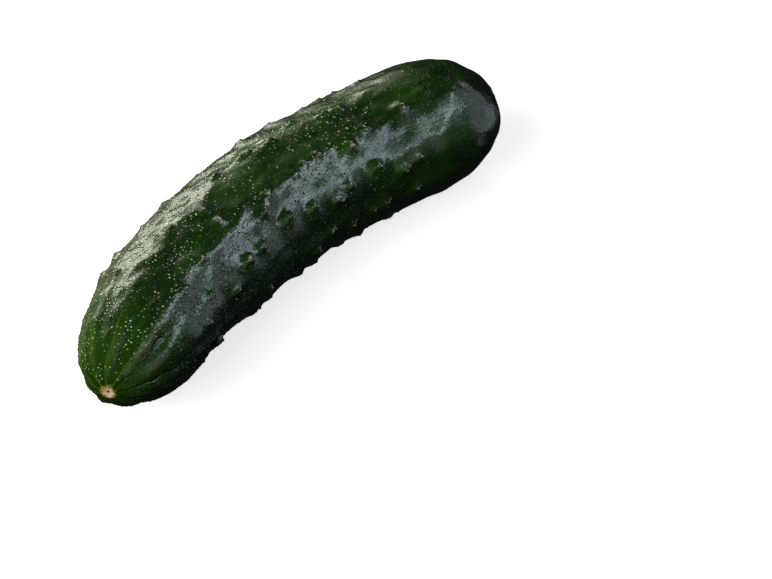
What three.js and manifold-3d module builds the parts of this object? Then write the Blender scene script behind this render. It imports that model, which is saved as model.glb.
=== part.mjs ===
// A whole slicing cucumber, lying on its belly and bowed a little to one side. It grew as one
// piece, so it is one solid: a round body along a bent centreline, pushed out along its own
// normal by a relief that holds the ribs, the creases of the blossom end, the warts and the
// two scars. Millimetres, +Z up. +X runs from the blossom end to the stem end, and the bow's
// outer side faces +Y.

import * as THREE from 'three';
import { mergeVertices } from 'three/addons/utils/BufferGeometryUtils.js';
import Module from 'manifold-3d';

const { clamp, degToRad, lerp, smoothstep } = THREE.MathUtils;

// Driving dimensions: lengths in millimetres, turns in radians.
const LENGTH = 208.5; // along the centreline, from the blossom tip to the stem tip
const RADIUS = 24.6; // of the middle of the body, before its relief
const BEND = degToRad(55); // how far the centreline turns from end to end
const BELLY = RADIUS - 0.5; // from the centreline down to the flat that it rests on

// The body's radius swells by TAPER of itself from end to end. Each end closes over its cap's
// length, and the higher the cap's power the blunter it is.
const TAPER = 0.03;
const BLOSSOM_CAP = { length: 54, power: 2.25 };
const STEM_CAP = { length: 40, power: 2.45 };

// The blossom tip lies off the centreline, outwards and upwards.
const NOSE = { length: 45, out: 2.4, up: 1.4 };

// Two places where the body is pinched in a little on one side, each at its own turn.
const PINCHES = [
  { s: 49, turn: degToRad(180), depth: 3 },
  { s: 148, turn: degToRad(60), depth: 1.7 },
];
const PINCH_LENGTH = 18;

// Three seed chambers round the section, and the ribs that the rows of warts stand on.
const CHAMBERS = 3;
const CHAMBER_RISE = 0.35;
const RIBS = 10;
const FIRST_RIB = degToRad(44); // from the bow's outer side, turning up over the top
const RIB_RISE = 0.28; // half of the way from furrow to crest
const RIBS_FADE = { from: 146, to: LENGTH };
const ROUND_TIP = 15; // a section narrower than this grows rounder towards each tip
const CREASE = { depth: 0.7, least: 0.4, deepest: 9, gone: 44, narrowness: 3 };

// Warts: a wart is steep towards the stem end, and runs out long towards the blossom end.
const WART_ROWS = { from: 34, to: 168, pitch: 12, stray: degToRad(11) };
const WART_RISE = { least: 0.55, most: 1.25 };
const WART_WIDTH = { least: 2.2, most: 3.1 }; // half of the whole
const WART_STEEP = 0.8; // reach over width, towards the stem end
const WART_LONG = 2.3; // reach over width, towards the blossom end
const BARE_BELLY = degToRad(24); // no wart grows this near the line that it lies on
const SEED = 421612;

// The scar that the flower left, and the stump of the stalk in its dimple.
const FLOWER_SCAR = { radius: 2.5, rim: 0.3, hollow: 0.5 };
const STALK = { radius: 3.3, rise: 2, dimple: 2.1, dimpleRadius: 8.5 };
const SCAR_EDGE = 0.6; // how wide the edges of the rim and the stump are

// The mesh starts as rings of points, and each edge that strays from the true surface by more
// than TOLERANCE is halved, up to ROUNDS times.
const RINGS = 44;
const POINTS_IN_RING = 40;
const TOLERANCE = 0.15;
const ROUNDS = 4;
const NUDGE = 1e-4; // of the way from tip to tip, to either side of a point whose slope is taken

const DOWN = -Math.PI / 2;
const SKIN = new THREE.MeshStandardMaterial({ color: 0x1f4014, roughness: 0.35, metalness: 0 });

// Turns are measured round the centreline from the bow's outer side. This is the shortest way
// from one turn to another.
function turnBetween(from, to) {
  return Math.atan2(Math.sin(to - from), Math.cos(to - from));
}

function rib(number) {
  return FIRST_RIB + (number * 2 * Math.PI) / RIBS;
}

// The centreline is an arc of a circle, apart from the nose.
function centreline(s) {
  const turned = BEND * (s / LENGTH - 0.5);
  const arc = LENGTH / BEND;
  const along = new THREE.Vector3(Math.cos(turned), -Math.sin(turned), 0);
  const outward = new THREE.Vector3(Math.sin(turned), Math.cos(turned), 0);
  const place = outward.clone().multiplyScalar(arc);
  const nose = clamp(1 - s / NOSE.length, 0, 1) ** 2;
  place.addScaledVector(outward, NOSE.out * nose);
  place.z += NOSE.up * nose;
  return { place, along, outward };
}

function bodyRadius(s) {
  const swell = 1 + TAPER * (s / LENGTH - 0.5);
  const blossom = clamp(1 - s / BLOSSOM_CAP.length, 0, 1) ** BLOSSOM_CAP.power;
  const stem = clamp(1 - (LENGTH - s) / STEM_CAP.length, 0, 1) ** STEM_CAP.power;
  return RADIUS * swell * Math.sqrt((1 - blossom) * (1 - stem));
}

// A seeded draw from 0 to 1, the same at every build.
let state = SEED;
function draw() {
  state = (state * 16807) % 2147483647;
  return state / 2147483647;
}

function growWarts() {
  const grown = [];
  for (let number = 0; number < RIBS; number++) {
    let s = WART_ROWS.from + WART_ROWS.pitch * draw();
    while (s < WART_ROWS.to) {
      const turn = rib(number) + WART_ROWS.stray * (2 * draw() - 1);
      const size = draw();
      const rise = lerp(WART_RISE.least, WART_RISE.most, size);
      const width = lerp(WART_WIDTH.least, WART_WIDTH.most, size);
      if (Math.abs(turnBetween(DOWN, turn)) > BARE_BELLY) grown.push({ s, turn, rise, width });
      s += WART_ROWS.pitch * (0.5 + draw());
    }
  }
  return grown;
}

const warts = growWarts();

function wartRelief(s, turn, radius) {
  let rise = 0;
  for (const wart of warts) {
    const along = s - wart.s;
    const reach = wart.width * (along > 0 ? WART_STEEP : WART_LONG);
    if (Math.abs(along) > reach) continue;
    const across = radius * turnBetween(wart.turn, turn);
    const inside = 1 - (along / reach) ** 2 - (across / wart.width) ** 2;
    if (inside > 0) rise += wart.rise * inside ** 2;
  }
  return rise;
}

// Creases run in from the furrows to the flower's scar, and are deepest just short of it. Those
// between two chambers are the deepest, and the least of them keeps a share of that depth.
function creaseRelief(s, turn, furrow) {
  const near = smoothstep(s, 0, CREASE.deepest) * (1 - smoothstep(s, CREASE.deepest, CREASE.gone));
  const share = lerp(1, CREASE.least, Math.cos((CHAMBERS / 2) * (turn - FIRST_RIB)) ** 2);
  return -CREASE.depth * share * near * furrow ** CREASE.narrowness;
}

function pinchRelief(s, turn) {
  let sunk = 0;
  for (const pinch of PINCHES) {
    const side = (1 + Math.cos(turn - pinch.turn)) / 2;
    sunk += pinch.depth * side * Math.exp(-(((s - pinch.s) / PINCH_LENGTH) ** 2));
  }
  return -sunk;
}

function flowerScarRelief(radius) {
  const rim = Math.exp(-(((radius - FLOWER_SCAR.radius) / SCAR_EDGE) ** 2));
  const hollow = 1 - smoothstep(radius, 0, FLOWER_SCAR.radius);
  return FLOWER_SCAR.rim * rim - FLOWER_SCAR.hollow * hollow;
}

function stalkRelief(radius) {
  const dimple = 1 - smoothstep(radius, STALK.radius, STALK.dimpleRadius);
  const stump = 1 - smoothstep(radius, STALK.radius, STALK.radius + SCAR_EDGE);
  return STALK.rise * stump - STALK.dimple * dimple;
}

// How far the skin stands out from the plain body, along the body's normal.
function relief(s, turn, radius) {
  const round = smoothstep(radius, 0, ROUND_TIP);
  const crest = Math.cos((RIBS / 2) * (turn - FIRST_RIB)) ** 2;
  const chambers = CHAMBER_RISE * Math.cos(CHAMBERS * (turn - FIRST_RIB));
  const fade = 1 - smoothstep(s, RIBS_FADE.from, RIBS_FADE.to);
  const ribs = RIB_RISE * (2 * crest - 1) * fade;
  const end = s < LENGTH / 2 ? flowerScarRelief(radius) : stalkRelief(radius);
  const creases = creaseRelief(s, turn, 1 - crest);
  const swells = pinchRelief(s, turn) + wartRelief(s, turn, radius);
  return round * (chambers + ribs) + creases + swells + end;
}

// u runs from 0 at the blossom tip to 1 at the stem tip, and slows down towards both.
function distanceAt(u) {
  return (LENGTH * (1 - Math.cos(Math.PI * u))) / 2;
}

function skinPoint(u, turn) {
  const before = Math.max(u - NUDGE, 0);
  const after = Math.min(u + NUDGE, 1);
  const s = distanceAt(u);
  const radius = bodyRadius(s);
  const widening = bodyRadius(distanceAt(after)) - bodyRadius(distanceAt(before));
  const { place, along, outward } = centreline(s);
  const out = outward.multiplyScalar(Math.cos(turn));
  out.z = Math.sin(turn);
  const normal = out.clone().multiplyScalar(distanceAt(after) - distanceAt(before));
  normal.addScaledVector(along, -widening).normalize();
  return place.addScaledVector(out, radius).addScaledVector(normal, relief(s, turn, radius));
}

function vertex(u, turn) {
  return { u, turn, place: skinPoint(u, turn) };
}

// A pole has no turn of its own, so an edge from it keeps the turn of its other end.
function between(a, b, part) {
  const atPole = (p) => p.u === 0 || p.u === 1;
  const u = lerp(a.u, b.u, part);
  if (atPole(a)) return vertex(u, b.turn);
  if (atPole(b)) return vertex(u, a.turn);
  return vertex(u, a.turn + part * turnBetween(a.turn, b.turn));
}

// Rings of points from pole to pole, each turned by half a step from the one before it.
function firstMesh() {
  const vertices = [vertex(0, 0)];
  const step = (2 * Math.PI) / POINTS_IN_RING;
  for (let ring = 1; ring < RINGS; ring++) {
    for (let point = 0; point < POINTS_IN_RING; point++) {
      vertices.push(vertex(ring / RINGS, step * (point + (ring % 2) / 2)));
    }
  }
  vertices.push(vertex(1, 0));
  const stemPole = vertices.length - 1;
  const at = (ring, point) => 1 + (ring - 1) * POINTS_IN_RING + (point % POINTS_IN_RING);

  const faces = [];
  for (let point = 0; point < POINTS_IN_RING; point++) {
    faces.push([0, at(1, point + 1), at(1, point)]);
    faces.push([stemPole, at(RINGS - 1, point), at(RINGS - 1, point + 1)]);
    for (let ring = 1; ring < RINGS - 1; ring++) {
      const [a, b] = [at(ring, point), at(ring, point + 1)];
      const [c, d] = [at(ring + 1, point), at(ring + 1, point + 1)];
      if (ring % 2) faces.push([a, b, d], [a, d, c]);
      else faces.push([a, b, c], [b, d, c]);
    }
  }
  return { vertices, faces };
}

// Whether the true surface strays from the straight edge between two vertices.
function strays(a, b) {
  return [0.25, 0.5, 0.75].some((part) => {
    const onEdge = a.place.clone().lerp(b.place, part);
    return between(a, b, part).place.distanceTo(onEdge) > TOLERANCE;
  });
}

// Halves each edge that strays. A face whose three edges are halved becomes four, and any other
// becomes a fan from one of its edges' middles.
function refine({ vertices, faces }) {
  const middles = new Map();
  const middle = (a, b) => {
    const edge = a < b ? `${a} ${b}` : `${b} ${a}`;
    if (!middles.has(edge)) {
      const split = strays(vertices[a], vertices[b]);
      middles.set(edge, split ? vertices.push(between(vertices[a], vertices[b], 0.5)) - 1 : null);
    }
    return middles.get(edge);
  };
  const finer = [];
  for (const [a, b, c] of faces) {
    const [ab, bc, ca] = [middle(a, b), middle(b, c), middle(c, a)];
    if (ab !== null && bc !== null && ca !== null) {
      finer.push([a, ab, ca], [b, bc, ab], [c, ca, bc], [ab, bc, ca]);
      continue;
    }
    const loop = [a, ab, b, bc, c, ca].filter((corner) => corner !== null);
    const start = loop.indexOf(ab ?? bc ?? ca ?? a);
    for (let i = 1; i < loop.length - 1; i++) {
      finer.push([0, i, i + 1].map((step) => loop[(start + step) % loop.length]));
    }
  }
  return { vertices, faces: finer };
}

function bodyGeometry() {
  let mesh = firstMesh();
  for (let round = 0; round < ROUNDS; round++) mesh = refine(mesh);
  const geometry = new THREE.BufferGeometry().setFromPoints(mesh.vertices.map((v) => v.place));
  return geometry.setIndex(mesh.faces.flat());
}

const wasm = await Module();
wasm.setup();

function toSolid(geometry) {
  const bare = geometry.clone();
  bare.deleteAttribute('normal');
  bare.deleteAttribute('uv');
  const merged = mergeVertices(bare);
  const vertProperties = new Float32Array(merged.attributes.position.array);
  const triVerts = new Uint32Array(merged.index.array);
  return new wasm.Manifold(new wasm.Mesh({ numProp: 3, vertProperties, triVerts }));
}

function toGeometry(solid) {
  const mesh = solid.getMesh();
  const geometry = new THREE.BufferGeometry();
  geometry.setAttribute('position', new THREE.BufferAttribute(mesh.vertProperties, 3));
  geometry.setIndex(new THREE.BufferAttribute(mesh.triVerts, 1));
  return geometry;
}

// The slab that takes the belly's flat off the body.
function belowBelly() {
  const side = 2 * LENGTH;
  const slab = new THREE.BoxGeometry(side, side, RADIUS);
  const { place } = centreline(LENGTH / 2);
  return slab.translate(place.x, place.y, -BELLY - RADIUS / 2);
}

// The cucumber stands on z = 0, with its box centred on the origin.
function cucumber() {
  const geometry = toGeometry(toSolid(bodyGeometry()).subtract(toSolid(belowBelly())));
  geometry.computeBoundingBox();
  const middle = geometry.boundingBox.getCenter(new THREE.Vector3());
  geometry.translate(-middle.x, -middle.y, BELLY);
  geometry.computeVertexNormals();
  const mesh = new THREE.Mesh(geometry, SKIN);
  mesh.name = 'cucumber';
  return mesh;
}

const part = new THREE.Group();
part.add(cucumber());

export default part;
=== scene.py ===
import math

import bpy
import numpy as np
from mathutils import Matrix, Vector


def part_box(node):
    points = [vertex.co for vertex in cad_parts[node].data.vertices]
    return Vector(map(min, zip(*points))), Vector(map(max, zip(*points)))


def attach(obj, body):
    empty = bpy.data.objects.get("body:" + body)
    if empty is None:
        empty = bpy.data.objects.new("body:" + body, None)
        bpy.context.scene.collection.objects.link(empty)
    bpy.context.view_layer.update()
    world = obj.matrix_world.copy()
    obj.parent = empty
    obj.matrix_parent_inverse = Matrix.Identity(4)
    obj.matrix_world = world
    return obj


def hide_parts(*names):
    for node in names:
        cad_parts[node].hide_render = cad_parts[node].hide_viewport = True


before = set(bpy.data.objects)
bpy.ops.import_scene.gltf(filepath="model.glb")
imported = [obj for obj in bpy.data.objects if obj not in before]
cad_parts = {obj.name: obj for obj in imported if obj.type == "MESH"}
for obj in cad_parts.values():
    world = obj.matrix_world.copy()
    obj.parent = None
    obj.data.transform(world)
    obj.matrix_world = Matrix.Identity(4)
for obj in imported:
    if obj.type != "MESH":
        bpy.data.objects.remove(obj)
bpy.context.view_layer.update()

# A whole cucumber, dressed. One mesh stands for the CAD's one solid. It follows the same formula
# as that solid, on a lattice whose points each carry a pimple of the skin. The material's colours,
# sheen and fine bump are procedural, and the light and the camera are a studio's.

# The solid: lengths in millimetres, turns in radians, all as the CAD source has them.
LENGTH = 208.5
RADIUS = 24.6
BEND = math.radians(55)
BELLY = RADIUS - 0.5
TAPER = 0.03
BLOSSOM_CAP = {"length": 54, "power": 2.25}
STEM_CAP = {"length": 40, "power": 2.45}
NOSE = {"length": 45, "out": 2.4, "up": 1.4}
PINCHES = [
    {"s": 49, "turn": math.radians(180), "depth": 3},
    {"s": 148, "turn": math.radians(60), "depth": 1.7},
]
PINCH_LENGTH = 18
CHAMBERS = 3
CHAMBER_RISE = 0.35
RIBS = 10
FIRST_RIB = math.radians(44)
RIB_RISE = 0.28
RIBS_FADE = (146, LENGTH)
ROUND_TIP = 15
CREASE = {"depth": 0.7, "least": 0.4, "deepest": 9, "gone": 44, "narrowness": 3}
WART_ROWS = {"from": 34, "to": 168, "pitch": 12, "stray": math.radians(11)}
WART_RISE = (0.55, 1.25)
WART_WIDTH = (2.2, 3.1)
WART_STEEP = 0.8
WART_LONG = 2.3
BARE_BELLY = math.radians(24)
WART_SEED = 421612
DRAW_FACTOR = 16807
DRAW_PRIME = 2147483647
FLOWER_SCAR = {"radius": 2.5, "rim": 0.3, "hollow": 0.5}
STALK = {"radius": 3.3, "rise": 2, "dimple": 2.1, "dimple_radius": 8.5}
SCAR_EDGE = 0.6

# The finer skin: a lattice of pimples, closer together towards the blossom end. A pair of values
# is the least and the most, and a pair of distances is where a change starts and where it is done.
LATTICE_STEP = (1.54, 1.92)  # at the blossom end and at the stem end
LATTICE_JITTER = 0.36  # of a step, to either side
LEAST_RING = 5  # points
LATTICE_SEED = 20
WIDEST_PIMPLE = 0.43  # of the way to the next one
PIMPLE = {"radius": (0.24, 0.48), "rise": (0.09, 0.2), "skew": 1.6, "least_tall": 0.6}
PALE_WIDTH = (0.95, 1.25)  # times a pimple's radius, from the greenest to the palest
BARE_TIPS = (3.5, 8)  # the body's radius where the pimples start and where they are full
SMOOTH_STEM = {"along": (135, 200), "lost": 0.72}  # of the pimples' rise
TIP = {"radius": 0.8, "rise": 0.42}  # of the bead on the top of the tallest wart

# Big glossy beads among the pimples.
BEAD = {"radius": (0.5, 0.66), "rise": (0.2, 0.32)}
BEAD_SHARE = 0.06  # of the pimples, before what follows
MOST_BEADS = 0.35  # of the pimples, in the thickest patch
BEADS_START = (3, 12)
BEADS_END = (120, 190)
MORE_BEADS = {"along": (60, 25), "more": 1.5}  # towards the blossom end
BEADY_TURN = math.radians(125)  # where the beads are the most common and the tallest
BEADY = {"near": (0.75, 0.97), "share": (0.8, 1.9), "rise": (1, 1.6)}  # near: a cosine

# Pale tops, partly the pimples' own paler colour and partly a painted glint of the lights on the
# domes:
# each paleness is a draw to the power of the skew, times the most that it can be, and less away from
# the key-lit side and towards the stem end.
PALE_GLINT = {"near_blossom": 2.4, "farther": 2.0, "along": (20, 90), "gone": (120, 180), "skew": 4}
BEAD_PALE_GLINT = (0.1, 1.1)
RIM_PALE_GLINT = 0.25  # of the top's
# The side that the key light falls on: the pale tops' painted glint is strongest there, and fades on
# the shaded flank.
LIT_SIDE_TURN = math.radians(65)  # where the tops are palest and the skin is the most uneven
LIT_SIDE = {"near": (0.3, 0.85), "pale_glint_share": (0.12, 1), "waves": (0.7, 1.3)}  # near: a cosine

# Patches where the tops are paler and the beads are denser.
PATCH_SCALE = 0.45  # of the patches to the skin's waves, the less the wider
PATCH_PALE_GLINT = {"middle": 0.9, "slope": 4, "range": (0.25, 1.5)}
PATCH_BEADS = 8  # how sharply the patches tell in the beads' number

# A dome wider than a plain pimple has a ring between its top and its rim.
RING = {"out": 0.55, "rise": 0.72, "crown": 0.2}

# Unevenness: gentle waves in random directions, and a soft swell round each wart.
WAVES = 26
WAVE_LENGTH = (3, 12)
WAVE_SLOPE = 0.029  # of one wave at its steepest
WAVES_LENGTHWISE = 0.65  # the less, the more the waves' crests run along the cucumber
WAVES_START = (2, 12)
SWELL = {"rise": 0.45, "width": 1.7}  # times the wart's own
WART_CREAM = (0.62, 1.0)  # how creamy a wart's top is

# Pale stripes that run back from the flower's scar.
STREAK = {"turn": 0.11, "width": 0.07, "starts": (0.2, 2.5), "ends": (6, 40), "share": (0.1, 1)}

MM = 0.001


def smoothstep(x, low, high):
    t = np.clip((x - low) / (high - low), 0, 1)
    return t * t * (3 - 2 * t)


def turn_between(start, end):
    return np.arctan2(np.sin(end - start), np.cos(end - start))


def lerp(ends, part):
    return ends[0] + (ends[1] - ends[0]) * part


# ---------------------------------------------------------------- the solid's formula


def centreline(s):
    """Where the centreline is at distance s, and the directions along it and outwards."""
    turned = BEND * (s / LENGTH - 0.5)
    level = np.zeros_like(s)
    along = np.stack([np.cos(turned), -np.sin(turned), level], -1)
    outward = np.stack([np.sin(turned), np.cos(turned), level], -1)
    nose = np.clip(1 - s / NOSE["length"], 0, 1) ** 2
    place = outward * (LENGTH / BEND + NOSE["out"] * nose)[:, None]
    place[:, 2] += NOSE["up"] * nose
    return place, along, outward


def body_radius(s):
    swell = 1 + TAPER * (s / LENGTH - 0.5)
    blossom = np.clip(1 - s / BLOSSOM_CAP["length"], 0, 1) ** BLOSSOM_CAP["power"]
    stem = np.clip(1 - (LENGTH - s) / STEM_CAP["length"], 0, 1) ** STEM_CAP["power"]
    return RADIUS * swell * np.sqrt((1 - blossom) * (1 - stem))


def grow_warts():
    """The same warts as the solid's, from the same seeded draws."""
    state = WART_SEED

    def draw():
        nonlocal state
        state = state * DRAW_FACTOR % DRAW_PRIME
        return state / DRAW_PRIME

    grown = []
    for number in range(RIBS):
        s = WART_ROWS["from"] + WART_ROWS["pitch"] * draw()
        while s < WART_ROWS["to"]:
            turn = FIRST_RIB + number * math.tau / RIBS + WART_ROWS["stray"] * (2 * draw() - 1)
            size = draw()
            rise, width = lerp(WART_RISE, size), lerp(WART_WIDTH, size)
            if abs(turn_between(-math.pi / 2, turn)) > BARE_BELLY:
                grown.append({"s": s, "turn": turn, "rise": rise, "width": width})
            s += WART_ROWS["pitch"] * (0.5 + draw())
    rng = np.random.default_rng(WART_SEED)
    for wart in grown:
        wart["cream"] = rng.uniform(*WART_CREAM)
    return grown


WARTS = grow_warts()


def wart_relief(s, turn, radius, rise_of=lambda wart: wart["rise"]):
    rise = np.zeros_like(s)
    for wart in WARTS:
        near = np.flatnonzero(np.abs(s - wart["s"]) < wart["width"] * WART_LONG)
        along = s[near] - wart["s"]
        reach = wart["width"] * np.where(along > 0, WART_STEEP, WART_LONG)
        across = radius[near] * turn_between(wart["turn"], turn[near])
        inside = 1 - (along / reach) ** 2 - (across / wart["width"]) ** 2
        rise[near] += rise_of(wart) * np.clip(inside, 0, None) ** 2
    return rise


def furrow_at(turn):
    return np.sin(RIBS / 2 * (turn - FIRST_RIB)) ** 2


def crease_relief(s, turn):
    left = 1 - smoothstep(s, CREASE["deepest"], CREASE["gone"])
    share = lerp((1, CREASE["least"]), np.cos(CHAMBERS / 2 * (turn - FIRST_RIB)) ** 2)
    narrow = furrow_at(turn) ** CREASE["narrowness"]
    return -CREASE["depth"] * share * smoothstep(s, 0, CREASE["deepest"]) * left * narrow


def pinch_relief(s, turn):
    sunk = 0
    for pinch in PINCHES:
        side = (1 + np.cos(turn - pinch["turn"])) / 2
        sunk = sunk + pinch["depth"] * side * np.exp(-(((s - pinch["s"]) / PINCH_LENGTH) ** 2))
    return -sunk


def flower_scar_relief(radius):
    rim = np.exp(-(((radius - FLOWER_SCAR["radius"]) / SCAR_EDGE) ** 2))
    hollow = 1 - smoothstep(radius, 0, FLOWER_SCAR["radius"])
    return FLOWER_SCAR["rim"] * rim - FLOWER_SCAR["hollow"] * hollow


def stalk_relief(radius):
    dimple = 1 - smoothstep(radius, STALK["radius"], STALK["dimple_radius"])
    stump = 1 - smoothstep(radius, STALK["radius"], STALK["radius"] + SCAR_EDGE)
    return STALK["rise"] * stump - STALK["dimple"] * dimple


def wart_swells(s, turn, radius):
    """A broad soft swell of the skin around each wart. At three widths almost none is left."""
    rise = np.zeros_like(s)
    for wart in WARTS:
        width = SWELL["width"] * wart["width"]
        near = np.flatnonzero(np.abs(s - wart["s"]) < 3 * width)
        across = radius[near] * turn_between(wart["turn"], turn[near])
        away = np.hypot(s[near] - wart["s"], across) / width
        rise[near] += SWELL["rise"] * wart["rise"] * np.exp(-(away**2))
    return rise


def relief(s, turn, radius):
    """How far the solid's skin is from the plain body."""
    clear_of_tip = smoothstep(radius, 0, ROUND_TIP)
    chambers = CHAMBER_RISE * np.cos(CHAMBERS * (turn - FIRST_RIB))
    ribs = RIB_RISE * (1 - 2 * furrow_at(turn)) * (1 - smoothstep(s, *RIBS_FADE))
    end = np.where(s < LENGTH / 2, flower_scar_relief(radius), stalk_relief(radius))
    swells = pinch_relief(s, turn) + wart_relief(s, turn, radius)
    return clear_of_tip * (chambers + ribs) + crease_relief(s, turn) + swells + end


# ---------------------------------------------------------------- the finer skin


def straightened(s, turn, radius):
    """The same point on the cucumber as if it were straight, for patterns that follow the bend."""
    return np.stack([s, radius * np.cos(turn), radius * np.sin(turn)], -1)


def waves(s, turn, radius, rng):
    """Gentle unevenness: a sum of waves in random directions."""
    straight = straightened(s, turn, radius)
    total = np.zeros_like(s)
    for _ in range(WAVES):
        direction = rng.normal(size=3) * (WAVES_LENGTHWISE, 1, 1)
        direction /= np.linalg.norm(direction)
        length = lerp(WAVE_LENGTH, rng.random())
        rise = WAVE_SLOPE * length / math.tau
        total += rise * np.sin(math.tau * (straight @ direction) / length + math.tau * rng.random())
    return total


class Meridian:
    """The line from tip to tip over the plain body, measured by its own length."""

    def __init__(self, steps=6000):
        self.s = LENGTH * (1 - np.cos(math.pi * np.linspace(0, 1, steps))) / 2
        self.radius = body_radius(self.s)
        run = np.hypot(np.diff(self.s), np.diff(self.radius))
        self.walked = np.concatenate([[0], np.cumsum(run)])

    def at(self, walked, nudge=0.02):
        """Distance along the centreline, radius, and the plain body's normal as (along, out)."""
        s = np.interp(walked, self.walked, self.s)
        radius = np.interp(walked, self.walked, self.radius)
        ahead = np.clip(walked + nudge, 0, self.walked[-1])
        behind = np.clip(walked - nudge, 0, self.walked[-1])
        ds = np.interp(ahead, self.walked, self.s) - np.interp(behind, self.walked, self.s)
        dr = np.interp(ahead, self.walked, self.radius) - np.interp(behind, self.walked, self.radius)
        steep = np.hypot(ds, dr)
        return s, radius, -dr / steep, ds / steep


MERIDIAN = Meridian()


def skin_places(walked, turn, rise):
    """Places on the skin, with the flat of the belly cut off."""
    s, radius, normal_along, normal_out = MERIDIAN.at(walked)
    place, along, outward = centreline(s)
    out = outward * np.cos(turn)[:, None]
    out[:, 2] = np.sin(turn)
    normal = along * normal_along[:, None] + out * normal_out[:, None]
    height = relief(s, turn, radius) + rise
    place = place + out * radius[:, None] + normal * height[:, None]
    place[:, 2] = np.maximum(place[:, 2] + BELLY, 0)
    return place


def lattice_rings(rng):
    """Rings of jittered lattice points from tip to tip, each as (walked, turns). The rings are as
    far apart as the rows of even triangles, and the first and the last keep their distance from
    the tips."""
    step = lerp(LATTICE_STEP, MERIDIAN.s / LENGTH)
    row = np.concatenate([[0], np.cumsum(np.diff(MERIDIAN.walked) / (step[1:] * math.sqrt(0.75)))])
    count = round(row[-1])
    row *= count / row[-1]
    rings = []
    for number in range(1, count):
        walked = np.interp(number, row, MERIDIAN.walked)
        here = np.interp(number, row, step)
        around = math.tau * np.interp(walked, MERIDIAN.walked, MERIDIAN.radius)
        points = max(LEAST_RING, round(around / here))
        turns = (np.arange(points) + number % 2 / 2) * math.tau / points
        sideways = LATTICE_JITTER * math.tau / points
        turns = turns + rng.uniform(-sideways, sideways, points)
        lengthwise = LATTICE_JITTER * here if 1 < number < count - 1 else 0
        rings.append((walked + rng.uniform(-lengthwise, lengthwise, points), turns))
    return rings


def switches(turns):
    """The turns halfway from each point of a ring to the next."""
    return (turns + np.append(turns[1:], turns[0] + math.tau)) / 2


def strip(first, first_turns, second, second_turns):
    """Faces between two rings, given as their points' numbers and turns."""
    mids = (switches(first_turns), switches(second_turns))

    def facing(asked, ring_mids):
        """Which point of the other ring each asked turn is nearest to."""
        last = ring_mids[-1]
        return np.searchsorted(ring_mids, last - (last - asked) % math.tau) % len(ring_mids)

    across = second[facing(mids[0], mids[1])]
    back = first[facing(mids[1], mids[0])]
    faces = np.stack([first, np.roll(first, -1), across], -1)
    return np.concatenate([faces, np.stack([back, np.roll(second, -1), second], -1)])


def lattice(rng):
    """The lattice's points as (walked, turn), from the blossom's tip to the stem's, and the faces
    that join them."""
    rings = lattice_rings(rng)
    walked = [np.zeros(1)] + [ring[0] for ring in rings] + [MERIDIAN.walked[-1:]]
    turns = [np.zeros(1)] + [ring[1] for ring in rings] + [np.zeros(1)]
    starts = np.cumsum([0] + [len(part) for part in walked])
    numbers = [np.arange(starts[i], starts[i + 1]) for i in range(len(walked))]
    blossom, stem = numbers[1], numbers[-2]
    tip = np.full_like(blossom, numbers[0][0])
    faces = [np.stack([tip, np.roll(blossom, -1), blossom], -1)]
    for i in range(1, len(rings)):
        faces.append(strip(numbers[i], turns[i], numbers[i + 1], turns[i + 1]))
    tip = np.full_like(stem, numbers[-1][0])
    faces.append(np.stack([stem, np.roll(stem, -1), tip], -1))
    return np.concatenate(walked), np.concatenate(turns), np.concatenate(faces)


def lit_side_share(turn):
    """1 on the side that the key light falls on, down to 0 on the other sides."""
    return smoothstep(np.cos(turn - LIT_SIDE_TURN), *LIT_SIDE["near"])


def beady_share(turn):
    """1 where the big beads are most common, down to 0 on the other sides."""
    return smoothstep(np.cos(turn - BEADY_TURN), *BEADY["near"])


def pale_glint_share(s, turn, patchy, rng):
    """How much paler than the skin each plain pimple's top is, partly its own colour and partly
    painted
    glint: 0 is as green as the skin, and 1 or more is palest.
    """
    most = lerp((PALE_GLINT["near_blossom"], PALE_GLINT["farther"]), smoothstep(s, *PALE_GLINT["along"]))
    patches = PATCH_PALE_GLINT["middle"] + PATCH_PALE_GLINT["slope"] * patchy
    spread = (1 - smoothstep(s, *PALE_GLINT["gone"])) * np.clip(patches, *PATCH_PALE_GLINT["range"])
    lit_side = lerp(LIT_SIDE["pale_glint_share"], lit_side_share(turn))
    return most * rng.random(len(s)) ** PALE_GLINT["skew"] * spread * lit_side


def bead_chance(s, turn, patchy):
    """How likely each pimple is to be a big bead."""
    there = smoothstep(s, *BEADS_START) * (1 - smoothstep(s, *BEADS_END))
    nearer_blossom = 1 + MORE_BEADS["more"] * smoothstep(s, *MORE_BEADS["along"])
    chance = BEAD_SHARE * there * np.exp(PATCH_BEADS * patchy)
    return np.minimum(chance * nearer_blossom * lerp(BEADY["share"], beady_share(turn)), MOST_BEADS)


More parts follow.
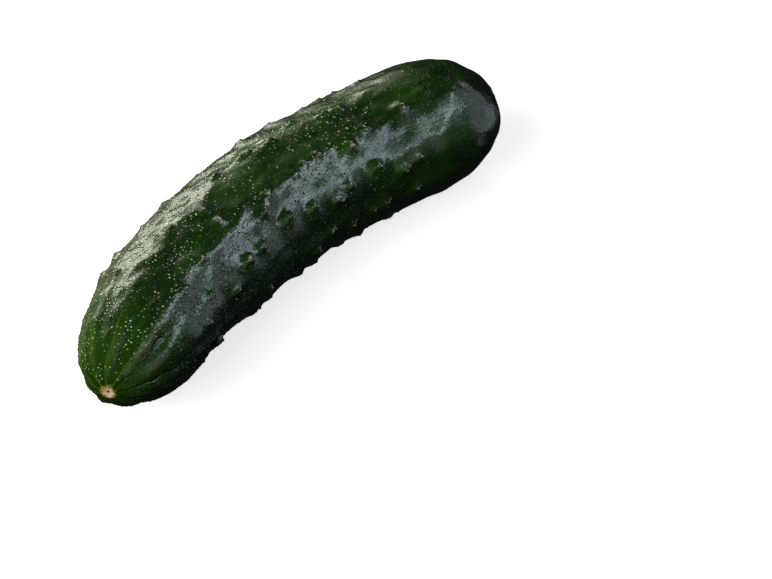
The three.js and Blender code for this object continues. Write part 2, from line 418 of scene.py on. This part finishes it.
def pimple_sizes(walked, turn, rng):
    """Each pimple's radius and rise, and how much paler than the skin its top is, partly painted
    glint.
    """
    s, radius, _, _ = MERIDIAN.at(walked)
    count = len(walked)
    size = rng.random(count) ** PIMPLE["skew"]
    wide = lerp(PIMPLE["radius"], size)
    rise = lerp(PIMPLE["rise"], size * rng.uniform(PIMPLE["least_tall"], 1, count))
    patchy = waves(s * PATCH_SCALE, turn, radius * PATCH_SCALE, rng)
    pale_glint = pale_glint_share(s, turn, patchy, rng)

    bead = rng.random(count) < bead_chance(s, turn, patchy)
    bead_size = rng.random(count)
    bead_rise = lerp(BEAD["rise"], bead_size) * lerp(BEADY["rise"], beady_share(turn))
    bead_pale_glint = lerp(BEAD_PALE_GLINT, bead_size) * lerp(LIT_SIDE["pale_glint_share"], lit_side_share(turn))
    wide = np.where(bead, lerp(BEAD["radius"], bead_size), wide)
    rise = np.where(bead, bead_rise, rise)
    pale_glint = np.where(bead, bead_pale_glint, pale_glint)
    wide = wide * lerp(PALE_WIDTH, np.minimum(pale_glint, 1))

    quiet = 1 - SMOOTH_STEM["lost"] * smoothstep(s, *SMOOTH_STEM["along"])
    rise = rise * quiet * smoothstep(radius, *BARE_TIPS)
    straight = straightened(s, turn, radius)
    for wart in WARTS:
        top = straightened(wart["s"], wart["turn"], body_radius(np.array(wart["s"])))
        nearest = np.argmin(np.sum((straight - top) ** 2, -1))
        wide[nearest] = TIP["radius"]
        rise[nearest] = TIP["rise"] * wart["rise"] / WART_RISE[1]
        pale_glint[nearest] = 1
    return wide, rise, pale_glint


def skin_coordinates(vertices):
    """Each vertex's distance along the centreline, its turn, and the plain body's radius there."""
    s, radius, _, _ = MERIDIAN.at(vertices["walked"])
    return s, vertices["turn"], radius


def lattice_edges(walked, turn, wide, faces):
    """The lattice's edges, three to a face: the points that each goes from and to, where it
    crosses the rim of the dome that it goes from, and the turn that it starts with. At a tip every
    turn is the same place, so there the turn is the other end's."""
    start = faces.ravel()
    end = np.roll(faces, -1, 1).ravel()
    places = skin_places(walked, turn, np.zeros(len(walked)))
    edge = np.linalg.norm(places[end] - places[start], axis=-1)
    part = np.minimum(wide[start] / edge, WIDEST_PIMPLE)
    tips = (0, len(walked) - 1)
    start_turn = np.where(np.isin(start, tips), turn[end], turn[start])
    end_turn = np.where(np.isin(end, tips), start_turn, turn[end])
    rim_walked = walked[start] + part * (walked[end] - walked[start])
    rim_turn = start_turn + part * turn_between(start_turn, end_turn)
    return start, end, rim_walked, rim_turn, start_turn


def skin_faces(faces, rim_vertex, ringed, ring_vertex):
    """The faces between the domes, then the domes' own. A plain dome's faces go from its top to
    its rim, and a ringed one's from its top to its ring and from there to its rim."""
    a, b, c = faces.T
    ab, bc, ca = rim_vertex(a, b), rim_vertex(b, c), rim_vertex(c, a)
    ba, cb, ac = rim_vertex(b, a), rim_vertex(c, b), rim_vertex(a, c)
    between = [(ab, ba, bc), (bc, cb, ca), (ca, ac, ab), (ab, bc, ca)]
    made = [np.stack(corners, -1) for corners in between]
    for top, one, two in [(a, ab, ac), (b, bc, ba), (c, ca, cb)]:
        plain = ~ringed[top]
        made.append(np.stack([top, one, two], -1)[plain])
        top, one, two = top[~plain], one[~plain], two[~plain]
        ring_one, ring_two = ring_vertex(one), ring_vertex(two)
        made.append(np.stack([top, ring_one, ring_two], -1))
        made.append(np.stack([ring_one, one, two], -1))
        made.append(np.stack([ring_one, two, ring_two], -1))
    return np.concatenate(made)


def pimpled_skin():
    """Every vertex of the skin, and the faces between them. Each lattice point is the top of a
    small dome, and what is left of each lattice face joins the rims of its three domes. A wide
    dome also has a ring, with one vertex between the top and each vertex of the rim."""
    rng = np.random.default_rng(LATTICE_SEED)
    walked, turn, faces = lattice(rng)
    wide, rise, pale_glint = pimple_sizes(walked, turn, rng)
    start, end, rim_walked, rim_turn, top_turn = lattice_edges(walked, turn, wide, faces)
    tops, rims = len(walked), len(start)
    key = start * tops + end
    order = np.argsort(key)

    ringed = wide > PIMPLE["radius"][1]
    in_ring = np.flatnonzero(ringed[start])
    ring_top = start[in_ring]
    ring_walked = lerp((walked[start], rim_walked), RING["out"])[in_ring]
    ring_turn = (top_turn + RING["out"] * turn_between(top_turn, rim_turn))[in_ring]
    ring_number = np.full(rims, -1)
    ring_number[in_ring] = tops + rims + np.arange(len(in_ring))

    def rim_vertex(a, b):
        """The vertex on the edge from a to b, on the rim of a."""
        return tops + order[np.searchsorted(key[order], a * tops + b)]

    def ring_vertex(rim):
        """The ring's vertex on the way to that rim vertex."""
        return ring_number[rim - tops]

    # "crown" goes from 1 at a dome's top to 0 at its rim. "rim_of" is the dome whose rim the
    # vertex is on, or -1.
    on_rims, on_rings = np.zeros(rims), np.full(len(in_ring), RING["crown"])
    vertices = {
        "walked": np.concatenate([walked, rim_walked, ring_walked]),
        "turn": np.concatenate([turn, rim_turn, ring_turn]),
        "rise": np.concatenate([rise, on_rims, RING["rise"] * rise[ring_top]]),
        "crown": np.concatenate([np.ones(tops), on_rims, on_rings]),
        "pale_glint": np.concatenate([pale_glint, RIM_PALE_GLINT * pale_glint[start], pale_glint[ring_top]]),
        "rim_of": np.concatenate([np.full(tops, -1), start, np.full(len(in_ring), -1)]),
    }
    skin = skin_coordinates(vertices)
    waviness = waves(*skin, rng) * smoothstep(vertices["walked"], *WAVES_START)
    waviness *= lerp(LIT_SIDE["waves"], lit_side_share(vertices["turn"]))
    vertices["rise"] += waviness + wart_swells(*skin)
    return vertices, skin_faces(faces, rim_vertex, ringed, ring_vertex)


def streak_mask(s, turn):
    """Pale stripes that run back from the flower's scar, one by each rib. Two waves that cross
    make them uneven."""
    from_stripe = turn_between(0, RIBS * (turn - FIRST_RIB - STREAK["turn"])) / RIBS
    stripes = np.exp(-((from_stripe / STREAK["width"]) ** 2))
    crossing = np.sin(3.1 * turn + 0.12 * s + 1.2) * np.sin(1.7 * turn - 0.21 * s)
    uneven = lerp(STREAK["share"], (1 + crossing) / 2)
    there = smoothstep(s, *STREAK["starts"]) * (1 - smoothstep(s, *STREAK["ends"]))
    return stripes * uneven * there


def add_attribute(mesh, name, values):
    kind = "FLOAT_VECTOR" if values.ndim == 2 else "FLOAT"
    attribute = mesh.attributes.new(name, kind, "POINT")
    attribute.data.foreach_set("vector" if values.ndim == 2 else "value", values.astype("f").ravel())


def middle_xy(low, high):
    return np.array([(low[0] + high[0]) / 2, (low[1] + high[1]) / 2, 0])


def triangle_mesh(name, places, faces):
    mesh = bpy.data.meshes.new(name)
    mesh.vertices.add(len(places))
    mesh.vertices.foreach_set("co", places.astype("f").ravel())
    mesh.loops.add(faces.size)
    mesh.loops.foreach_set("vertex_index", faces.astype("i").ravel())
    mesh.polygons.add(len(faces))
    mesh.polygons.foreach_set("loop_start", np.arange(0, faces.size, 3, dtype="i"))
    mesh.polygons.foreach_set("loop_total", np.full(len(faces), 3, dtype="i"))
    mesh.update(calc_edges=True)
    mesh.validate()
    mesh.shade_smooth()
    return mesh


def sharpen_rims(mesh, rim_of):
    """Marks the edges that run round the domes as sharp, so that each dome stands out."""
    ends = np.empty(len(mesh.edges) * 2, dtype="i")
    mesh.edges.foreach_get("vertices", ends)
    domes = rim_of[ends.reshape(-1, 2)]
    round_dome = (domes[:, 0] == domes[:, 1]) & (domes[:, 0] >= 0)
    mesh.edges.foreach_set("use_edge_sharp", round_dome)


def add_skin_attributes(mesh, vertices):
    """What the skin's material reads at each vertex. The two radii are in millimetres, and the
    texture coordinates, "straight", are in metres."""
    s, turn, radius = skin_coordinates(vertices)
    add_attribute(mesh, "straight", straightened(s, turn, radius) * MM)
    add_attribute(mesh, "crown", vertices["crown"])
    add_attribute(mesh, "pale_glint", vertices["pale_glint"])
    add_attribute(mesh, "wart", wart_relief(s, turn, radius, lambda wart: wart["cream"]))
    add_attribute(mesh, "streak", streak_mask(s, turn))
    add_attribute(mesh, "from_scar", np.where(s < LENGTH / 2, radius, RADIUS))
    add_attribute(mesh, "from_stalk", np.where(s > LENGTH / 2, radius, RADIUS))


def make_skin(material):
    """Adds the dressed cucumber, and says how far it was shifted to lie where the solid lies."""
    vertices, faces = pimpled_skin()
    places = skin_places(vertices["walked"], vertices["turn"], vertices["rise"]) * MM
    low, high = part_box("cucumber")
    shift = middle_xy(low, high) - middle_xy(places.min(0), places.max(0))
    mesh = triangle_mesh("cucumber_skin", places + shift, faces)
    sharpen_rims(mesh, vertices["rim_of"])
    add_skin_attributes(mesh, vertices)

    skin = bpy.data.objects.new("cucumber_skin", mesh)
    bpy.context.collection.objects.link(skin)
    mesh.materials.append(material)
    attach(skin, "root")
    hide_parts("cucumber")
    return shift


# ---------------------------------------------------------------- materials


class Nodes:
    """Short calls for the nodes of one material."""

    def __init__(self, name):
        self.material = bpy.data.materials.new(name)
        self.material.use_nodes = True
        self.tree = self.material.node_tree
        self.shader = self.tree.nodes["Principled BSDF"]

    def new(self, kind, **settings):
        node = self.tree.nodes.new(kind)
        for name, value in settings.items():
            setattr(node, name, value)
        return node

    def set(self, socket, value):
        if isinstance(value, bpy.types.NodeSocket):
            self.tree.links.new(value, socket)
        else:
            socket.default_value = value

    def attribute(self, name, output="Fac"):
        return self.new("ShaderNodeAttribute", attribute_name=name).outputs[output]

    def stretched(self, vector, scale):
        node = self.new("ShaderNodeMapping")
        self.set(node.inputs["Vector"], vector)
        node.inputs["Scale"].default_value = scale
        return node.outputs["Vector"]

    def noise(self, vector, scale, detail=2.0, roughness=0.5):
        node = self.new("ShaderNodeTexNoise")
        self.set(node.inputs["Vector"], vector)
        node.inputs["Scale"].default_value = scale
        node.inputs["Detail"].default_value = detail
        node.inputs["Roughness"].default_value = roughness
        return node.outputs["Fac"]

    def spots(self, vector, scale):
        """The distance to the nearest of many scattered points."""
        node = self.new("ShaderNodeTexVoronoi")
        self.set(node.inputs["Vector"], vector)
        node.inputs["Scale"].default_value = scale
        return node.outputs["Distance"]

    def ramp(self, value, low, high, to_low=0.0, to_high=1.0):
        node = self.new("ShaderNodeMapRange", interpolation_type="SMOOTHSTEP")
        for name, given in zip(("Value", "From Min", "From Max", "To Min", "To Max"),
                               (value, low, high, to_low, to_high)):
            self.set(node.inputs[name], given)
        return node.outputs["Result"]

    def math(self, operation, a, b=0.0):
        node = self.new("ShaderNodeMath", operation=operation)
        self.set(node.inputs[0], a)
        self.set(node.inputs[1], b)
        return node.outputs[0]

    def mix(self, factor, a, b):
        node = self.new("ShaderNodeMix", data_type="RGBA")
        for socket, value in zip((node.inputs[0], node.inputs[6], node.inputs[7]), (factor, a, b)):
            self.set(socket, value)
        return node.outputs[2]


def colour(red, green, blue):
    """A colour given as the screen shows it, from 0 to 255."""

    def linear(level):
        level = level / 255
        return level / 12.92 if level <= 0.04045 else ((level + 0.055) / 1.055) ** 2.4

    return (linear(red), linear(green), linear(blue), 1.0)


DEEP_GREEN = colour(20, 48, 3)
LEAF_GREEN = colour(37, 75, 4)
BLOSSOM_GREEN = colour(27, 60, 2)
STREAK_GREEN = colour(82, 112, 34)
# The pimples' pale tops: partly their own paler colour and partly a painted glint of the lights on
# the domes.
PIMPLE_PALE_GLINT = colour(222, 244, 172)
WART_GREEN = colour(40, 60, 20)
TIP_CREAM = colour(190, 188, 150)
SCAR_TAN = colour(232, 206, 156)
SCAR_RIM = colour(150, 132, 52)
SCAR_DARK = colour(82, 50, 28)
STALK_TAN = colour(150, 146, 92)
FLOOR_DARKER = colour(238, 234, 240)
FLOOR_LIGHTER = colour(242, 238, 244)
FLOOR_GLOW = 0.78

# How fine each texture of the skin is: cells to the metre. The distances from the scar and from
# the stalk, which the ramps below read, are in millimetres.
FINENESS = {
    "wander": 110,
    "gaps": 80,
    "blotches": 70,
    "streaks": 500,
    "specks": 1150,
    "tips": 900,
    "scar": 1400,
    "stump": 900,
    "dullness": 160,
    "grain": 2600,
    "veins": 900,
}
BUMP_HEIGHT = 0.00015  # metres


def lengthwise(n, straight, squeeze):
    """Texture coordinates that draw a pattern out along the cucumber."""
    return n.stretched(straight, (squeeze, 1, 1))


def scar_lines(n, straight, from_scar):
    """Crisp lines that run back from the flower's scar: creases down some of the furrows, darkened
    with painted shade, and pale lines along some of the ribs. Both go from 0 to 1, and both wander
    and have gaps."""
    parts = n.new("ShaderNodeSeparateXYZ")
    n.set(parts.inputs["Vector"], straight)
    wander = n.ramp(n.noise(straight, FINENESS["wander"], 2), 0.2, 0.8, -0.09, 0.09)
    turn = n.math("ARCTAN2", parts.outputs["Z"], parts.outputs["Y"])
    turn = n.math("ADD", n.math("SUBTRACT", turn, FIRST_RIB), wander)
    from_rib = n.math("PINGPONG", turn, math.pi / RIBS)
    from_furrow = n.math("SUBTRACT", math.pi / RIBS, from_rib)
    fading = n.ramp(parts.outputs["X"], 0.008, 0.034, 1, 0)
    near = n.math("MULTIPLY", fading, n.ramp(from_scar, 2.4, 4))
    gaps = n.noise(lengthwise(n, straight, 0.2), FINENESS["gaps"], 1)
    crease = n.ramp(n.math("MULTIPLY", from_furrow, from_scar), 0.0, 0.6, 1, 0)
    line = n.ramp(n.math("MULTIPLY", from_rib, from_scar), 0.0, 0.5, 1, 0)
    creases = n.math("MULTIPLY", n.math("MULTIPLY", crease, near), n.ramp(gaps, 0.4, 0.6))
    lines = n.math("MULTIPLY", n.math("MULTIPLY", line, near), n.ramp(gaps, 0.6, 0.45))
    return creases, lines


def plain_green(n, straight, from_scar):
    """The green of the skin, with its blotches, its fine streaks and the pale stripes."""
    blotches = n.noise(lengthwise(n, straight, 0.5), FINENESS["blotches"], 3)
    green = n.mix(n.ramp(blotches, 0.35, 0.7), DEEP_GREEN, LEAF_GREEN)
    streaks = n.noise(lengthwise(n, straight, 0.12), FINENESS["streaks"], 3)
    green = n.mix(n.ramp(streaks, 0.5, 0.75, 0, 0.35), green, LEAF_GREEN)
    green = n.mix(n.ramp(from_scar, 6, 25, 0.5, 0.0), green, BLOSSOM_GREEN)
    return n.mix(n.math("MULTIPLY", n.attribute("streak"), 0.85), green, STREAK_GREEN)


def with_scars(n, green, straight, from_scar, from_stalk):
    """The green, with the flower's scar at one end and the stalk's stump at the other. The edges
    of both are ragged."""
    ragged = n.ramp(n.noise(straight, FINENESS["scar"], 2), 0.3, 0.7, -0.45, 0.45)
    ragged = n.math("ADD", from_scar, ragged)
    skin = n.mix(n.ramp(ragged, 2.5, 3.3, 1, 0), green, SCAR_RIM)
    skin = n.mix(n.ramp(ragged, 1.85, 2.35, 1, 0), skin, SCAR_TAN)
    skin = n.mix(n.ramp(from_scar, 0.35, 0.9, 1, 0), skin, SCAR_DARK)
    ragged = n.ramp(n.noise(straight, FINENESS["stump"], 3), 0, 1, -0.4, 0.4)
    ragged = n.math("ADD", from_stalk, ragged)
    return n.mix(n.ramp(ragged, 3.0, 3.8, 1, 0), skin, STALK_TAN)


def skin_bump(n, straight, specks, creases):
    """Fine grain and veins, a low mound at each speck, and the creases."""
    grain = n.noise(straight, FINENESS["grain"], 2)
    veins = n.noise(lengthwise(n, straight, 0.35), FINENESS["veins"], 2)
    height = n.math("ADD", n.math("MULTIPLY", grain, 0.12), n.math("MULTIPLY", veins, 0.5))
    height = n.math("ADD", height, n.ramp(specks, 0.08, 0.28, 1, 0))
    height = n.math("SUBTRACT", height, n.math("MULTIPLY", creases, 1.6))
    bump = n.new("ShaderNodeBump")
    bump.inputs["Strength"].default_value = 1.0
    bump.inputs["Distance"].default_value = BUMP_HEIGHT
    n.set(bump.inputs["Height"], height)
    return bump.outputs["Normal"]


def skin_material():
    n = Nodes("skin")
    straight = n.attribute("straight", "Vector")
    crown, wart = n.attribute("crown"), n.attribute("wart")
    from_scar, from_stalk = n.attribute("from_scar"), n.attribute("from_stalk")
    specks = n.spots(straight, FINENESS["specks"])
    creases, lines = scar_lines(n, straight, from_scar)
    pale_glint_dots = n.math("MULTIPLY", n.ramp(crown, 0.15, 0.65), n.ramp(n.attribute("pale_glint"), 0.0, 0.8))
    uneven = n.ramp(n.noise(straight, FINENESS["tips"], 2), 0.3, 0.7, -0.12, 0.12)
    tips = n.math("ADD", wart, uneven)

    green = plain_green(n, straight, from_scar)
    green = n.mix(n.ramp(wart, 0.2, 0.8, 0, 0.5), green, WART_GREEN)
    # The specks' paler tint is partly their own colour and partly a painted glint on their small
    # mounds.
    green = n.mix(n.ramp(specks, 0.06, 0.26, 0.2, 0.0), green, STREAK_GREEN)
    # Painted shade: the creases are darkened in the colour as well as sunk in the bump.
    green = n.mix(n.math("MULTIPLY", creases, 0.6), green, DEEP_GREEN)
    green = n.mix(n.math("MULTIPLY", lines, 0.7), green, STREAK_GREEN)
    # Partly painted glint: the pale tops stand for the pimples' own paler colour and for the lights'
    # glints on them.
    green = n.mix(pale_glint_dots, green, PIMPLE_PALE_GLINT)
    green = n.mix(n.ramp(tips, 0.7, 1.0, 0, 0.9), green, TIP_CREAM)

    # The domes' tops are glossier than the skin, and the scar and the warts' tips are duller.
    dull = n.ramp(n.noise(straight, FINENESS["dullness"], 3), 0.3, 0.7, 0.2, 0.27)
    rough = n.math("SUBTRACT", dull, n.math("MULTIPLY", crown, 0.08))
    rough = n.math("ADD", rough, n.ramp(from_scar, 2.4, 3.2, 0.45, 0.0))
    rough = n.math("ADD", rough, n.ramp(tips, 0.7, 1.0, 0, 0.2))
    shine = n.math("ADD", n.ramp(crown, 0.0, 0.8, 0.5, 1.2), n.math("MULTIPLY", pale_glint_dots, 2.0))

    n.set(n.shader.inputs["Base Color"], with_scars(n, green, straight, from_scar, from_stalk))
    n.set(n.shader.inputs["Roughness"], rough)
    n.set(n.shader.inputs["Normal"], skin_bump(n, straight, specks, creases))
    n.set(n.shader.inputs["Specular IOR Level"], shine)
    n.shader.inputs["IOR"].default_value = 1.48
    return n.material


def floor_material():
    n = Nodes("floor")
    clouds = n.noise(n.new("ShaderNodeTexCoord").outputs["Object"], 3, 2)
    n.set(n.shader.inputs["Base Color"], n.mix(clouds, FLOOR_DARKER, FLOOR_LIGHTER))
    n.shader.inputs["Emission Color"].default_value = (1.0, 1.0, 1.0, 1.0)
    n.shader.inputs["Emission Strength"].default_value = FLOOR_GLOW
    n.shader.inputs["Roughness"].default_value = 0.9
    n.shader.inputs["Specular IOR Level"].default_value = 0.1
    return n.material


# ---------------------------------------------------------------- the studio

# The camera looks at a point of the floor beside the middle of the centreline. Its turn and its
# elevation are in degrees, and its distance and the aim are in millimetres.
CAMERA = {"azimuth": -48.7, "elevation": 44, "distance": 1200}
AIM = (18.1, -42.5)
PICTURE_WIDTH = 772  # pixels, as the photo's
FOCAL_PIXELS = 3336
LIGHT_DISTANCE = 2.4  # metres
WARM = (0.97, 1.0, 0.82)
COOL = (0.76, 0.88, 1.0)
GRASSY = (0.9, 1.0, 0.55)
SKY = {"tint": (0.75, 0.85, 1.0, 1.0), "strength": 0.015}


def from_camera(azimuth, elevation):
    """A direction given in degrees, by its turn to the camera's right and its elevation."""
    turned, raised = math.radians(CAMERA["azimuth"] + azimuth), math.radians(elevation)
    flat = math.cos(raised)
    return Vector((math.sin(turned) * flat, -math.cos(turned) * flat, math.sin(raised)))


def add_camera(middle):
    camera = bpy.data.objects.new("camera", bpy.data.cameras.new("camera"))
    bpy.context.collection.objects.link(camera)
    back = from_camera(0, CAMERA["elevation"])
    aim = Vector((middle[0] + AIM[0] * MM, middle[1] + AIM[1] * MM, 0))
    camera.location = aim + back * CAMERA["distance"] * MM
    camera.rotation_mode = "QUATERNION"
    camera.rotation_quaternion = (-back).to_track_quat("-Z", "Y")
    camera.data.lens = FOCAL_PIXELS / PICTURE_WIDTH * camera.data.sensor_width
    bpy.context.scene.camera = camera


def add_softbox(name, at, size, radiance, tint=(1.0, 1.0, 1.0), glossy=True, diffuse=True):
    """A softbox that faces the cucumber. Where it is and its size are in degrees, as the cucumber
    sees them: (turn to the camera's right, elevation) and (width, height)."""
    light = bpy.data.lights.new(name, "AREA")
    light.shape = "RECTANGLE"
    wide, tall = (2 * LIGHT_DISTANCE * math.tan(math.radians(angle / 2)) for angle in size)
    light.size = wide
    light.size_y = tall
    light.energy = radiance * wide * tall * math.pi
    light.color = tint
    softbox = bpy.data.objects.new(name, light)
    bpy.context.collection.objects.link(softbox)
    toward = from_camera(*at)
    softbox.location = toward * LIGHT_DISTANCE
    softbox.rotation_mode = "QUATERNION"
    softbox.rotation_quaternion = toward.to_track_quat("Z", "Y")
    softbox.visible_camera = False
    softbox.visible_glossy = glossy
    softbox.visible_diffuse = diffuse


def add_floor(middle=2.0, flat=2.4, corner=1.6, wall=3.0, sides=96, steps=8):
    """A pale floor that curves up into a wall all round. The lengths are in metres: the radius of
    the middle face, the radius of all that is level, the corner's radius and the wall's top."""
    profile = [(middle, 0), (flat, 0)]
    for step in range(1, steps + 1):
        lean = math.pi / 2 * step / steps
        profile.append((flat + corner * math.sin(lean), corner * (1 - math.cos(lean))))
    profile.append((flat + corner, wall))
    turns = [math.tau * side / sides for side in range(sides)]
    points = [(r * math.cos(turn), r * math.sin(turn), z) for r, z in profile for turn in turns]
    faces = [list(range(sides))]
    for ring in range(len(profile) - 1):
        for side in range(sides):
            after = (side + 1) % sides
            low, high = ring * sides, (ring + 1) * sides
            faces.append((low + side, high + side, high + after, low + after))
    mesh = bpy.data.meshes.new("floor")
    mesh.from_pydata(points, [], faces)
    mesh.shade_smooth()
    mesh.materials.append(floor_material())
    floor = bpy.data.objects.new("floor", mesh)
    bpy.context.collection.objects.link(floor)
    floor.visible_glossy = False
    floor.visible_diffuse = False
    floor.visible_shadow = False


def add_world():
    world = bpy.data.worlds.new("studio")
    world.use_nodes = True
    background = world.node_tree.nodes["Background"]
    background.inputs["Color"].default_value = SKY["tint"]
    background.inputs["Strength"].default_value = SKY["strength"]
    bpy.context.scene.world = world


def add_studio():
    """The lights, the floor and the sky. Most of the lights tell in the gloss only, and the fill
    tells everywhere but there."""
    add_softbox("key", (-149, 15), (28, 20), 6.0, WARM)
    add_softbox("key_soft", (-149, 19), (50, 42), 0.9, WARM, diffuse=False)
    add_softbox("key_wall", (-156, 40), (50, 40), 0.25, WARM, diffuse=False)
    add_softbox("table", (-140, -20), (40, 34), 0.4, GRASSY)
    add_softbox("window", (92, 43), (54, 8), 9.2, COOL, diffuse=False)
    add_softbox("window_soft", (98, 40), (62, 28), 0.3, COOL, diffuse=False)
    add_softbox("window_wall", (108, 3), (40, 50), 1.2, COOL, diffuse=False)
    add_softbox("front_wall", (42, 25), (34, 50), 0.75, diffuse=False)
    add_softbox("fill", (-50, 36), (54, 45), 3.8, glossy=False)
    add_floor()
    add_world()
    bpy.context.scene.view_settings.view_transform = "Standard"


shift = make_skin(skin_material())
middle_place, _, _ = centreline(np.array([LENGTH / 2]))
add_camera(middle_place[0] * MM + shift)
add_studio()
